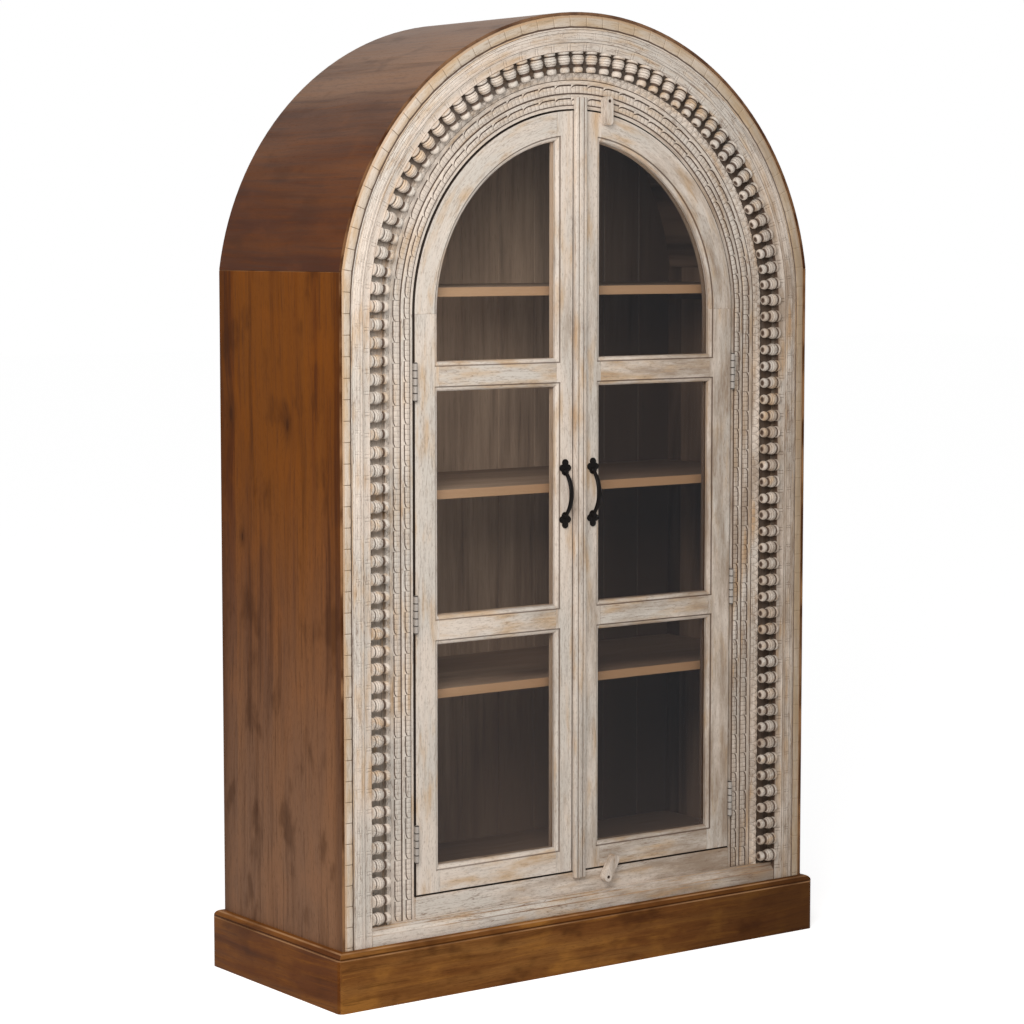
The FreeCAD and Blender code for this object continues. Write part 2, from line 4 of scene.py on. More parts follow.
import bmesh
import bpy
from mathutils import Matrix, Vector

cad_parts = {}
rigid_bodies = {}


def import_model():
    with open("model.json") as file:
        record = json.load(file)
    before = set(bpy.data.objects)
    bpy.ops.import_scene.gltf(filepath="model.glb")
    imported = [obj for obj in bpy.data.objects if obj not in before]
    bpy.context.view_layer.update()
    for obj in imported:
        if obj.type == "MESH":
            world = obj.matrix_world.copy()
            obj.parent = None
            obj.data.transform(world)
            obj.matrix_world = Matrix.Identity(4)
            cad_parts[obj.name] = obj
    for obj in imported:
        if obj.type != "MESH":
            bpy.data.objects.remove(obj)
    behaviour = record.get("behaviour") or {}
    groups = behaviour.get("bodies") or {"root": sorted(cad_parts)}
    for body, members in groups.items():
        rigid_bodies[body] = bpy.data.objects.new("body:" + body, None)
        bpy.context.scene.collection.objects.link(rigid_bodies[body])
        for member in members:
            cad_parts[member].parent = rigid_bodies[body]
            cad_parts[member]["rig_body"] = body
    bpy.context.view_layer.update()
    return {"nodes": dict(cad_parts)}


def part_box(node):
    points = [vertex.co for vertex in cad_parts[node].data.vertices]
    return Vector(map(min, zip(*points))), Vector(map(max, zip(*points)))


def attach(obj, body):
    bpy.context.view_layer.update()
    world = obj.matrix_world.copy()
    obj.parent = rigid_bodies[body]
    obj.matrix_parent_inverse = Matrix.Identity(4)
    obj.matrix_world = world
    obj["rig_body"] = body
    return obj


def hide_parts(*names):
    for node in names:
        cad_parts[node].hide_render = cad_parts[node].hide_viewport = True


# Arched cabinet with a carved, whitewashed front and two glazed doors.
# Lengths are in metres. X runs to the right seen from the front, Z is up, the front faces -Y.

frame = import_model()
nodes = frame["nodes"]

MM = 0.001
weld = 0.01 * MM

# Widths of eased edges: sides and shelves, other boards, sill and floor, door frames and hinges
wide_ease = 1.6 * MM
board_ease = 1.4 * MM
low_ease = 1.2 * MM
fine_ease = 0.9 * MM

# Angles in degrees below which faces are shaded as one
board_crease = 16
astragal_crease = 30
carved_crease = 42
pull_crease = 48
spindle_crease = 50

# Lines of the cabinet, read from the frame
front_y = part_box("edge_moulding_arch")[0].y
base_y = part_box("front_arch")[0].y
door_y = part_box("left_meeting_stile")[0].y
glass_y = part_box("left_arch_glass")[0].y
spring_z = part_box("front_arch")[0].z
opening_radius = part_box("front_sill")[1].x
front_half_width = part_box("left_front_post")[0].x * -1
door_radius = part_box("right_arch_rail")[1].x
side_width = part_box("right_side_panel")[1].x
back_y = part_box("back_planks")[1].y
roof_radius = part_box("arch_roof")[1].z - spring_z
plinth_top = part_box("plinth_front")[1].z
sill_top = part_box("sill_moulding")[1].z
sill_board_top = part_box("front_sill")[1].z
door_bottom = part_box("left_bottom_rail")[0].z
bed_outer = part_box("sill_moulding")[1].x
notched_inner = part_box("cove_moulding_arch")[1].x
notched_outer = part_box("notched_moulding_arch")[1].x
rope_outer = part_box("rope_moulding_arch")[1].x


# Building node trees

class Value:
    """An output of a tree that takes part in sums."""

    def __init__(self, recipe, socket):
        self.recipe = recipe
        self.socket = socket

    def output(self, name):
        return Value(self.recipe, self.socket.node.outputs[name])

    def __add__(self, other):
        return self.recipe.sum("ADD", self, other)

    def __sub__(self, other):
        return self.recipe.sum("SUBTRACT", self, other)

    def __rsub__(self, other):
        return self.recipe.sum("SUBTRACT", other, self)

    def __mul__(self, other):
        return self.recipe.sum("MULTIPLY", self, other)

    def __truediv__(self, other):
        return self.recipe.sum("DIVIDE", self, other)

    def __abs__(self):
        return self.recipe.sum("ABSOLUTE", self)

    def least(self, other):
        return self.recipe.sum("MINIMUM", self, other)

    def most(self, other):
        return self.recipe.sum("MAXIMUM", self, other)

    def spread(self, low, high, to_low=0.0, to_high=1.0):
        """Value between two limits, eased and clamped, as a share."""
        return self.recipe.node("ShaderNodeMapRange", {0: self, 1: low, 2: high, 3: to_low, 4: to_high},
                                interpolation_type="SMOOTHSTEP")

    def under(self, coat, value, low, high, to_low=0.0, to_high=1.0):
        """This colour under a coat that is laid on where a value lies between two limits."""
        return self.recipe.mixed(value.spread(low, high, to_low, to_high), self, coat)


class Recipe:
    """A shader or geometry tree, made node by node."""

    def __init__(self, tree):
        self.tree = tree

    def node(self, kind, inputs=None, output=0, **settings):
        """Add a node: its inputs linked or set, its settings set, one of its outputs given back."""
        made = self.tree.nodes.new(kind)
        for name, setting in settings.items():
            setattr(made, name, setting)
        for key, given in (inputs or {}).items():
            if isinstance(given, Value):
                self.tree.links.new(given.socket, made.inputs[key])
            else:
                made.inputs[key].default_value = given
        if len(made.outputs) == 0:
            return made
        return Value(self, made.outputs[output])

    def sum(self, operation, *values):
        return self.node("ShaderNodeMath", dict(enumerate(values)), operation=operation)

    def vector(self, x, y, z):
        return self.node("ShaderNodeCombineXYZ", {0: x, 1: y, 2: z})

    def parts(self, vector):
        split = self.node("ShaderNodeSeparateXYZ", {0: vector})
        return split, split.output("Y"), split.output("Z")

    def noise(self, where, detail=3.0, roughness=0.55, scale=1.0):
        return self.node("ShaderNodeTexNoise", {
            "Vector": where, "Scale": scale, "Detail": detail, "Roughness": roughness})

    def mixed(self, share, first, second, blend="MIX"):
        return self.node("ShaderNodeMix", {0: share, 6: first, 7: second}, output=2,
                         data_type="RGBA", blend_type=blend, clamp_factor=True)

    def attribute(self, name, output="Fac"):
        return self.node("ShaderNodeAttribute", output=output, attribute_name=name)

    def place(self):
        return self.node("ShaderNodeTexCoord", output="Object")

    def streaks(self, grain, shift, along, across, detail=3.0, roughness=0.55):
        """Noise drawn out along the grain, from how often it changes along and across a metre."""
        run, side, depth = grain
        where = self.vector(run * along + shift, side * across + shift * 0.7, depth * across)
        return self.noise(where, detail, roughness)

    def bump(self, strength, depth, height):
        return self.node("ShaderNodeBump", {"Strength": strength, "Distance": depth, "Height": height})


def paint(red, green, blue):
    """Linear colour of a paint given in the usual 0 to 255 steps."""
    channels = []
    for step in (red, green, blue):
        share = step / 255
        channels.append(share / 12.92 if share <= 0.04045 else ((share + 0.055) / 1.055) ** 2.4)
    return (*channels, 1.0)


def new_recipe(name):
    """An empty material and the recipe of its tree."""
    material = bpy.data.materials.new(name)
    material.use_nodes = True
    material.node_tree.nodes.clear()
    return material, Recipe(material.node_tree)


def plain_finish(recipe, colour, roughness, gloss, bump, metallic=0.0):
    """Close a recipe with one surface shader."""
    surface = recipe.node("ShaderNodeBsdfPrincipled", {
        "Base Color": colour, "Metallic": metallic, "Roughness": roughness, "Specular IOR Level": gloss,
        "Normal": bump})
    recipe.node("ShaderNodeOutputMaterial", {"Surface": surface})


# Where the grain runs: along it, and two ways across it

def straight_grain(order):
    """Grain of a sawn board, its run, width and thickness axes given as letters."""
    def grain(recipe):
        axes = dict(zip("xyz", recipe.parts(recipe.place())))
        return tuple(axes[letter] for letter in order)
    return grain


def polar(recipe):
    """Angle round the arch centre, distance from it, and depth."""
    x, y, z = recipe.parts(recipe.place())
    rise = z - spring_z
    radius = recipe.sum("SQRT", x * x + rise * rise)
    return recipe.sum("ARCTAN2", rise, x), radius, y


def arched_grain(recipe):
    angle, radius, y = polar(recipe)
    return angle * opening_radius, radius, y


def roof_grain(recipe):
    """Boards bent over the arch, their grain running front to back."""
    angle, radius, y = polar(recipe)
    return y, angle * roof_radius, radius


def run_grain(recipe):
    return recipe.parts(recipe.attribute("run", "Vector"))


# Finishes

wood_dark = paint(58, 27, 3)
wood_mid = paint(106, 57, 20)
wood_light = paint(142, 88, 38)
wood_orange = paint(152, 92, 34)
wood_worn = paint(178, 134, 94)
# Painted light on the top of the roof and the foot of the sides
wood_painted_light = paint(158, 126, 102)
inside_dark = paint(58, 42, 33)
inside_mid = paint(124, 99, 81)
inside_light = paint(226, 194, 166)


def stained_wood(name, grain, shift, shade, board, blotch, worn=0.4, gloss=0.06, lip=0.6, edges=None,
                 dark_end=None, knots=(), painted_light=None, inner_face=None, crown=None):
    """Brown stain over pine, darker towards the edges of the board and round its knots, with painted shade on
    its front face and, where given, its inner face.

    Each knot is given by its place along and across the board and its reach. painted_light gives the heights
    where the painted light starts and is full, and how strong it is. dark_end is where painted shade towards
    the end of the run is full. crown is the height of the plinth's ovolo, with a painted shade line under it
    and light lines on its lips, partly wear and partly painted highlight.
    """
    material, recipe = new_recipe(name)
    run, side, depth = grain(recipe)
    sway = recipe.streaks((run, side, depth), shift, 1.6, 3, detail=2)
    bent = side + (sway - 0.5) * 0.05
    for knot_run, knot_side, reach in knots:
        gap_run = (run - knot_run) / (reach * 2.4)
        gap_side = (side - knot_side) / reach
        near = recipe.sum("EXPONENT", (gap_run * gap_run + gap_side * gap_side) * -1)
        bent = bent + near * reach * 0.7
    lines = (run, bent, depth)
    broad = recipe.streaks(lines, shift, 1.1, 10, detail=2)
    patch = recipe.streaks(lines, shift + 4, 7, 13, detail=3)
    figure = recipe.streaks(lines, shift + 1, 2.0, 40, detail=4)
    fine = recipe.streaks(lines, shift + 2, 5, 130, detail=5, roughness=0.7)
    pores = recipe.streaks(lines, shift + 3, 60, 700, detail=2)
    boards = recipe.node("ShaderNodeTexWhiteNoise", {"W": recipe.sum("FLOOR", side / board + shift)},
                         noise_dimensions="1D")
    tone = (broad * 0.9 + figure * 0.45 + (boards - 0.5) * 0.24).spread(0.5, 0.9)
    colour = recipe.mixed(tone, wood_mid, wood_light)
    colour = colour.under(wood_orange, patch, 0.5, 0.68, 0, blotch)
    colour = colour.under(wood_orange, fine, 0.52, 0.68, 0, 0.45)
    colour = recipe.mixed(1.0, colour, shade, blend="MULTIPLY")
    # Painted light: lighter past the heights given, on the top of the roof and the foot of the sides
    if painted_light:
        height = recipe.parts(recipe.place())[2] + (broad - 0.5) * 0.3
        colour = colour.under(wood_painted_light, height, painted_light[0], painted_light[1], 0, painted_light[2])
    colour = colour.under(wood_dark, patch, 0.46, 0.3, 0, blotch)
    colour = colour.under(wood_dark, figure, 0.47, 0.28, 0, 0.4)
    colour = colour.under(wood_dark, fine, 0.49, 0.3, 0, 0.5)
    colour = colour.under(wood_dark, pores, 0.44, 0.3, 0, 0.4)
    if edges:
        inwards = (side - edges[0]).least(edges[1] - side) + (figure - 0.5) * 0.05
        colour = colour.under(wood_dark, inwards, 0.05, 0, 0, 0.4)
    # Painted shade, darker towards the end of the run
    if dark_end:
        colour = colour.under(wood_dark, run + (broad - 0.5) * 0.4, 0, dark_end, 0, 0.75)
    for knot_run, knot_side, reach in knots:
        gap_run = (run - knot_run) / (reach * 0.55)
        gap_side = (side - knot_side) / (reach * 0.22)
        spot = recipe.sum("EXPONENT", (gap_run * gap_run + gap_side * gap_side) * -1)
        halo = recipe.sum("EXPONENT", (gap_run * gap_run * 0.08 + gap_side * gap_side * 0.05) * -1)
        colour = colour.under(wood_dark, spot, 0.05, 0.8, 0, 0.8)
        colour = colour.under(wood_dark, halo * (figure + 0.5), 0.25, 1, 0, 0.5)
    rub = recipe.attribute("rubbed") * patch.spread(0.38, 0.6, 0.05, worn)
    y, z = recipe.parts(recipe.place())[1:]
    if crown:
        # Painted shade line under the ovolo, and light lines on its lips that are partly wear and partly
        # painted highlight
        under = abs(z - crown - 1.4 * MM).spread(1.9 * MM, 1.2 * MM, 0, 0.75)
        colour = recipe.mixed(under, colour, wood_dark)
        lip_wear_and_highlight = abs(z - crown + 1.0 * MM).least(abs(z - plinth_top + 2.0 * MM))
        rub = rub.most(lip_wear_and_highlight.spread(1.5 * MM, 0.7 * MM) * patch.spread(0.36, 0.6, 0.25, 0.8))
    else:
        # Painted shade on the front face of the board
        front = y.spread(front_y + 1.6 * MM, front_y + 0.6 * MM)
        colour = recipe.mixed(front * 0.6, colour, wood_dark)
        rub = (rub * lip).most(front * patch.spread(0.4, 0.62, 0, lip))
    colour = recipe.mixed(rub, colour, wood_worn)
    if inner_face:
        # Painted shade: the inner face takes a darker lining than the stain outside
        lining_and_shade = recipe.mixed(tone, inside_dark, inside_mid)
        colour = colour.under(lining_and_shade, abs(depth), inner_face, inner_face - 2 * MM)
    bump = recipe.bump(0.3, 0.5 * MM, fine * 0.6 + pores * 0.5)
    plain_finish(recipe, colour, fine.spread(0.3, 0.7, 0.44, 0.58), gloss, bump)
    return material


wash_pale = paint(227, 213, 199)
wash_cool = paint(212, 203, 192)
wash_warm = paint(208, 179, 145)
wash_tan = paint(182, 158, 126)
wash_bare = paint(188, 150, 112)
wash_brown = paint(120, 91, 70)
# Soil, also laid on as painted shade towards the right
wash_soil_and_shade = paint(152, 131, 111)
# Grime in the cuts, also painted shade in cuts and recesses
wash_grime_and_shade = paint(80, 59, 46)
gap_shadow = paint(34, 23, 16)

# How far the mouldings of door and front step back from the door face, where painted shade lines are laid
moulding_step = 1.5 * MM
moulding_arris = 9.2 * MM
door_covers = ("moulding", "door gap", "behind glass")


def whitewash(name, grain, shift, wear=1.0, warm=0.0, soil_shade_offset=0.0, cuts=(0.85, 0.2), covers=()):
    """Lime wash brushed over stained wood, rubbed back on the edges and dark in the cuts from grime and
    painted shade. Soil is laid on together with painted shade, more to the right and less up the arch.

    cuts gives how dark the cuts are in the middle and how much darker they get to the right, that rise being
    painted shade. covers names what else is worked in.
    """
    material, recipe = new_recipe(name)
    lines = grain(recipe)
    place = recipe.place()
    x, y, z = recipe.parts(place)
    brush = recipe.streaks(lines, shift, 9, 190, detail=5, roughness=0.7)
    split = recipe.streaks(lines, shift + 1, 6, 105, detail=4, roughness=0.6)
    patch = recipe.streaks(lines, shift + 2, 4, 16, detail=4)
    blot = recipe.streaks(lines, shift + 3, 8, 34)
    grit = recipe.streaks(lines, shift + 4, 110, 420, detail=2, roughness=0.6)
    soil = recipe.streaks(lines, shift + 5, 6, 30, detail=5, roughness=0.7)
    flecks = recipe.noise(place, detail=2, roughness=0.7, scale=250)
    rubbed = recipe.attribute("rubbed")
    cut_grime_and_shade = recipe.attribute("cut_grime_and_shade")
    if "moulding" in covers:
        # Painted shade on the mouldings: dark lines at the quirk step and the arris, and faces turned away
        # from the front painted brown as if rubbed
        normal = recipe.node("ShaderNodeTexCoord", output="Normal")
        facing = abs(recipe.parts(normal)[1])
        step = abs(y - door_y - moulding_step).spread(1.1 * MM, 0.8 * MM, 0, 0.62)
        arris = abs(y - door_y - moulding_arris).spread(1.4 * MM, 0.6 * MM, 0, 0.45)
        cut_grime_and_shade = cut_grime_and_shade.most(step.most(arris))
        rubbed = (rubbed * 0.5).most(facing.spread(0.97, 0.55, 0, 0.5))
    colour = recipe.mixed(patch.spread(0.38, 0.62), wash_pale, wash_cool)
    colour = colour.under(wash_warm, blot + warm, 0.48, 0.74, 0, 0.85)
    rise = (z - spring_z).most(0)
    radius = recipe.sum("SQRT", x * x + rise * rise)
    # Painted shade mixed with soil: more of the soil colour towards the right and less up the arch
    dirt_and_shade = soil + soil_shade_offset + x * 0.42 - rise * 0.3
    colour = colour.under(wash_soil_and_shade, dirt_and_shade, 0.42, 0.86, 0, 0.9)
    bare = (brush + (blot - 0.5) * 0.9 + rubbed * 0.2 + warm * 0.3).spread(0.6, 0.84)
    colour = recipe.mixed(bare * 0.7 * wear, colour, wash_bare)
    colour = colour.under(wash_brown, brush, 0.43, 0.27, 0, 0.55 * wear)
    colour = colour.under(wash_soil_and_shade, grit, 0.48, 0.3, 0, 0.4)
    crack = abs(split - 0.5).spread(0.017, 0.017 * 0.3)
    colour = recipe.mixed(crack * patch.spread(0.42, 0.58, 0.2 * wear, 0.7 * wear), colour, wash_brown)
    colour = colour.under(wash_brown, flecks, 0.62, 0.76, 0, 0.4 * wear)
    colour = recipe.mixed(rubbed * patch.spread(0.42, 0.66, 0.1, 0.6), colour, wash_brown)
    if "behind glass" in covers:
        colour = colour.under(inside_dark, y, glass_y - 0.4 * MM, glass_y + 0.4 * MM, 0, 0.9)
    if "spindle bed shade" in covers:
        # Painted shade in the trough behind the spindles, stronger to the right and over the arch
        middle = (rope_outer + bed_outer) / 2
        reach = (bed_outer - rope_outer) / 2
        shade_share = (x + rise * 0.8).spread(-0.5, -0.12, 0.0, 0.72)
        bed = abs(radius - middle).spread(reach + 2 * MM, reach) * shade_share
        colour = recipe.mixed(bed, colour, wash_grime_and_shade)
    # Grime and painted shade in the cuts, the painted shade growing to the right
    colour = colour.under(wash_grime_and_shade, cut_grime_and_shade * (x * cuts[1] + cuts[0]), 0.12, 0.72, 0, 0.94)
    if "outer band" in covers:
        band = lines[1].spread(6 * MM, 8 * MM) * x.spread(-0.5, 0.5, 0.35, 0.6)
        colour = recipe.mixed(band * patch.spread(0.3, 0.6, 0.5, 1), colour, wash_tan)
        colour = colour.under(wash_bare, lines[1], 23.5 * MM, 25 * MM, 0, 0.6)
    if "door gap" in covers:
        ring = abs(radius - (door_radius + opening_radius) / 2) + (sill_board_top - z).most(0)
        beside = radius.spread(opening_radius, opening_radius + MM, 0, 9)
        foot = abs(z - (sill_board_top + door_bottom) / 2) + beside
        gap = ring.least(foot).spread(2.3 * MM, 1.7 * MM, 0, 0.95)
        gap = gap * y.spread(door_y - 2 * MM, door_y - 1 * MM)
        colour = recipe.mixed(gap, colour, gap_shadow)
    bump = recipe.bump(0.45, 0.7 * MM, brush * 0.8 + flecks * 0.3 - bare * 0.4)
    plain_finish(recipe, colour, bare.spread(0, 1, 0.75, 0.6), 0.2, bump)
    return material


def interior_wood(name, grain, shift, lift=0.0, sawn_edge=0.0):
    """Thin stain on the boards inside, lighter on the sawn edge that faces the front, with painted light to
    the left and higher up and painted shade to the right.
    """
    material, recipe = new_recipe(name)
    lines = grain(recipe)
    broad = recipe.streaks(lines, shift, 1.4, 9)
    streak = recipe.streaks(lines, shift + 1, 3, 60, detail=5, roughness=0.6)
    fine = recipe.streaks(lines, shift + 2, 30, 700, detail=2)
    x, y, z = recipe.parts(recipe.place())
    # Painted light and shade: lighter to the left and higher up, darker to the right, with no left-right
    # change on the outer face of the back
    x = x * y.spread(back_y - 1 * MM, back_y - 3 * MM)
    tone = (broad * 0.5 + streak * 0.3 + lift - x * 0.5 + z * 0.28).spread(0.38, 0.98)
    colour = recipe.mixed(tone, inside_mid, inside_light)
    colour = colour.under(inside_dark, streak, 0.44, 0.28, 0, 0.2)
    colour = colour.under(inside_dark, fine, 0.44, 0.3, 0, 0.3)
    # Painted shade to the right
    colour = colour.under(inside_dark, x, 0.05, 0.5, 0, 0.8 * (1 - sawn_edge))
    facing = abs(recipe.parts(recipe.node("ShaderNodeTexCoord", output="Normal"))[1])
    sawn = facing.spread(0.5, 0.9, 0, sawn_edge).most(recipe.attribute("rubbed") * 0.6)
    colour = recipe.mixed(sawn, colour, wood_worn)
    bump = recipe.bump(0.3, 0.6 * MM, streak * 0.6 + fine * 0.4)
    plain_finish(recipe, colour, streak.spread(0.3, 0.7, 0.5, 0.65), 0.2, bump)
    return material


def worn_metal(name, body, bright, metallic, roughness, hammer, gloss, knuckles=None):
    """Hammered or rolled metal, rubbed in specks, with dark joints between the knuckles of a hinge."""
    material, recipe = new_recipe(name)
    place = recipe.place()
    dents = recipe.noise(place, detail=2, scale=hammer)
    specks = recipe.noise(place, detail=4, scale=hammer * 5)
    colour = recipe.mixed(specks.spread(0.52, 0.7), body, bright)
    if knuckles:
        seam, lowest, spacing, pitch = knuckles
        share = (recipe.parts(place)[2] - lowest) / spacing
        turn = (share - recipe.sum("ROUND", share)) * spacing / pitch + 0.5
        joint = abs(turn - recipe.sum("ROUND", turn)) * pitch
        colour = colour.under(seam, joint, 1.5 * MM, 0.8 * MM, 0, 0.9)
    bump = recipe.bump(0.4, 0.5 * MM, dents + specks * 0.2)
    plain_finish(recipe, colour, specks.spread(0.3, 0.7, roughness - 0.08, roughness + 0.1), gloss, bump,
                 metallic)
    return material


def clear_glass(name):
    """Old window glass: clear, with a faint gloss on its outer face and a slight ripple."""
    material, recipe = new_recipe(name)
    ripple = recipe.noise(recipe.place(), detail=1, scale=7)
    bump = recipe.bump(0.05, 1 * MM, ripple)
    far_face = recipe.node("ShaderNodeNewGeometry", output="Backfacing")
    gloss = recipe.node("ShaderNodeFresnel", {"IOR": 1.45}) * (1 - far_face)
    through = recipe.node("ShaderNodeBsdfTransparent", {"Color": (0.97, 0.975, 0.97, 1)})
    mirror = recipe.node("ShaderNodeBsdfGlossy", {
        "Color": (0.42, 0.43, 0.46, 1), "Roughness": 0.03, "Normal": bump})
    surface = recipe.node("ShaderNodeMixShader", {0: gloss, 1: through, 2: mirror})
    recipe.node("ShaderNodeOutputMaterial", {"Surface": surface})
    return material


skin = 6 * MM
side_wood = stained_wood("stained side wood", straight_grain("zyx"), 3.1, (0.68, 0.57, 0.32, 1), board=0.19,
                         blotch=0.5, gloss=0.04, edges=(front_y, back_y), painted_light=(1.2, 0.1, 0.5),
                         knots=((1.176, 0.186, 0.03), (1.163, -0.035, 0.024), (0.923, 0.144, 0.016)),
                         inner_face=side_width - skin)
roof_wood = stained_wood("stained roof wood", roof_grain, 7.7, (0.4, 0.31, 0.17, 1), board=0.09, blotch=0.4,
                         worn=0.2, gloss=0.12, lip=0.3, painted_light=(1.62, 2.06, 0.72),
                         inner_face=roof_radius - skin)
plinth_crown = plinth_top - 13 * MM
long_plinth_wood = stained_wood("stained plinth wood long", straight_grain("xzy"), 12.4, (1.16, 1.45, 1.9, 1),
                                board=0.3, blotch=0.7, worn=0.8, dark_end=side_width, crown=plinth_crown)
short_plinth_wood = stained_wood("stained plinth wood short", straight_grain("yzx"), 21.9,
                                 (0.86, 0.88, 0.9, 1), board=0.3, blotch=0.4, worn=0.8, crown=plinth_crown)

strip_wash = whitewash("whitewash carved strips", run_grain, 1.7, soil_shade_offset=-0.07)
edge_wash = whitewash("whitewash edge strip", run_grain, 6.3, warm=0.08, soil_shade_offset=-0.04, cuts=(0.85, -0.5),
                      covers=("outer band",))
upright_wash = whitewash("whitewash upright boards", straight_grain("zxy"), 5.3, wear=0.6, covers=door_covers)
level_wash = whitewash("whitewash level boards", straight_grain("xzy"), 8.8, wear=0.7, warm=0.05, soil_shade_offset=0.03,
                       covers=door_covers)
arched_wash = whitewash("whitewash arched boards", arched_grain, 14.2, wear=0.6, covers=door_covers)
base_covers = ("door gap", "spindle bed shade")
base_post_wash = whitewash("whitewash base posts", straight_grain("zxy"), 4.4, covers=base_covers)
base_arch_wash = whitewash("whitewash base arch", arched_grain, 6.4, covers=base_covers)
sill_wash = whitewash("whitewash sill", straight_grain("xzy"), 17.5, soil_shade_offset=0.07, covers=("door gap",))
spindle_wash = whitewash("whitewash spindles", arched_grain, 3.9, wear=0.8, soil_shade_offset=-0.1, cuts=(1.1, 0))
latch_wash = whitewash("whitewash latches", straight_grain("zxy"), 9.6, soil_shade_offset=0.05)

upright_inside = interior_wood("interior wood upright", straight_grain("zxy"), 2.2)
level_inside = interior_wood("interior wood level", straight_grain("xyz"), 9.1, lift=-0.12, sawn_edge=0.72)
depth_inside = interior_wood("interior wood battens", straight_grain("yzx"), 5.1)

black_iron = worn_metal("black iron", paint(8, 6, 5), paint(34, 20, 13),
                        metallic=0.0, roughness=0.42, hammer=160, gloss=0.1)
hinge_low, hinge_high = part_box("left_hinge_leaves")
hinge_length = 76 * MM
knuckle_count = 5
hinge_seam = paint(44, 34, 28)
lowest_hinge = hinge_low.z + hinge_length / 2
hinge_spacing = (hinge_high.z - hinge_low.z - hinge_length) / 2
hinge_steel = worn_metal("hinge steel", paint(172, 164, 156), paint(120, 112, 104),
                         metallic=0.2, roughness=0.5, hammer=260, gloss=0.3,
                         knuckles=(hinge_seam, lowest_hinge, hinge_spacing, hinge_length / knuckle_count))
pane_glass = clear_glass("pane glass")


# Meshes

def put_in_scene(name, data):
    thing = bpy.data.objects.new(name, data)
    bpy.context.scene.collection.objects.link(thing)
    return thing


def new_piece(name, mesh, material, slot, body, *stands_for):
    """Finish a piece: its material, the body that it rides on and the nodes it replaces; its slot is not
    used.
    """
    piece = put_in_scene(name, mesh)
    mesh.materials.clear()
    mesh.materials.append(material)
    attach(piece, body)
    if stands_for:
        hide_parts(*stands_for)
    return piece


def smooth_below(mesh, degrees):
    mesh.shade_smooth()
    mesh.set_sharp_from_angle(angle=math.radians(degrees))


def mesh_of(made, name):
    mesh = bpy.data.meshes.new(name)
    made.to_mesh(mesh)
    made.free()
    return mesh


def softened(node, width, material, name, degrees=28):
    """A copy of a CAD node with its edges eased, the eased faces marked as rubbed."""
    made = bmesh.new()
    made.from_mesh(nodes[node].data)
    bmesh.ops.remove_doubles(made, verts=made.verts, dist=weld)
    bmesh.ops.dissolve_limit(made, angle_limit=math.radians(0.3), verts=made.verts, edges=made.edges)
    edges = [edge for edge in made.edges
             if len(edge.link_faces) == 2 and edge.calc_face_angle() > math.radians(degrees)]
    for face in made.faces:
        face.material_index = 0
    bmesh.ops.bevel(made, geom=edges, offset=width, offset_type="OFFSET", segments=2, profile=0.6,
                    affect="EDGES", clamp_overlap=True, material=1)
    rubbed = made.faces.layers.float.new("rubbed")
    for face in made.faces:
        face[rubbed] = float(face.material_index == 1)
        face.material_index = 0
    mesh = mesh_of(made, name)
    smooth_below(mesh, board_crease)
    slot = nodes[node].material_slots[0].material.name
    return new_piece(name, mesh, material, slot, nodes[node]["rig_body"], node)


# Carved strips, each a tile repeated up one post, over the arch and down the other

def eased(share):
    share = min(max(share, 0.0), 1.0)
    return share * share * (3 - 2 * share)


def cut_at(share, width, *places):
    """1 at each place along a repeat, falling to 0 at a width from it."""
    return 1 - eased(min(abs(share - place) for place in places) / width)


def carved_tile(stations, section, back):
    """One repeat of a carving: x from 0 to 1 along the strip, y across it, z out of it."""
    made = bmesh.new()
    mark = made.verts.layers.float.new("cut_grime_and_shade")
    rings = []
    for station in stations:
        points = section(station)
        across_end = points[-1][0]
        # The walls down to the base take some painted shade
        outline = [(points[0][0], -back, 0.3)] + points + [(across_end, -back, 0.3)]
        ring = []
        for across, height, cut_grime_and_shade in outline:
            vert = made.verts.new((station, across * MM, height * MM))
            vert[mark] = cut_grime_and_shade
            ring.append(vert)
        rings.append(ring)
    for first, second in zip(rings, rings[1:]):
        count = len(first)
        for place in range(count):
            following = (place + 1) % count
            made.faces.new((first[place], second[place], second[following], first[following]))
    return mesh_of(made, "tile")


def tree_with(name, **inputs):
    """A geometry tree with its inputs named under their kinds, its recipe and the values of the inputs."""
    tree = bpy.data.node_groups.new(name, "GeometryNodeTree")
    for kind, labels in inputs.items():
        for label in labels:
            tree.interface.new_socket(label, in_out="INPUT", socket_type="NodeSocket" + kind)
    tree.interface.new_socket("Geometry", in_out="OUTPUT", socket_type="NodeSocketGeometry")
    recipe = Recipe(tree)
    given = recipe.node("NodeGroupInput")
    return tree, recipe, {label: given.output(label) for labels in inputs.values() for label in labels}


def row_of_points(recipe, count):
    return recipe.node("GeometryNodeMeshLine", {"Count": count, "Offset": (1, 0, 0)}, mode="OFFSET")


def end_tree(recipe, geometry, finish):
    """Make the copies real, give them their finish and close the tree."""
    solid = recipe.node("GeometryNodeRealizeInstances", {"Geometry": geometry})
    painted = recipe.node("GeometryNodeSetMaterial", {"Geometry": solid, "Material": finish})
    recipe.node("NodeGroupOutput", {0: painted})


def path_point(run, column, bend, centre):
    """Angle of the path at a run, and how far below the spring line it still is."""
    angle = ((run - column) / bend).most(0).least(math.pi)
    below = (run - column).least(0)
    beyond = (run - column - bend * math.pi).most(0)
    return angle, centre + below - beyond


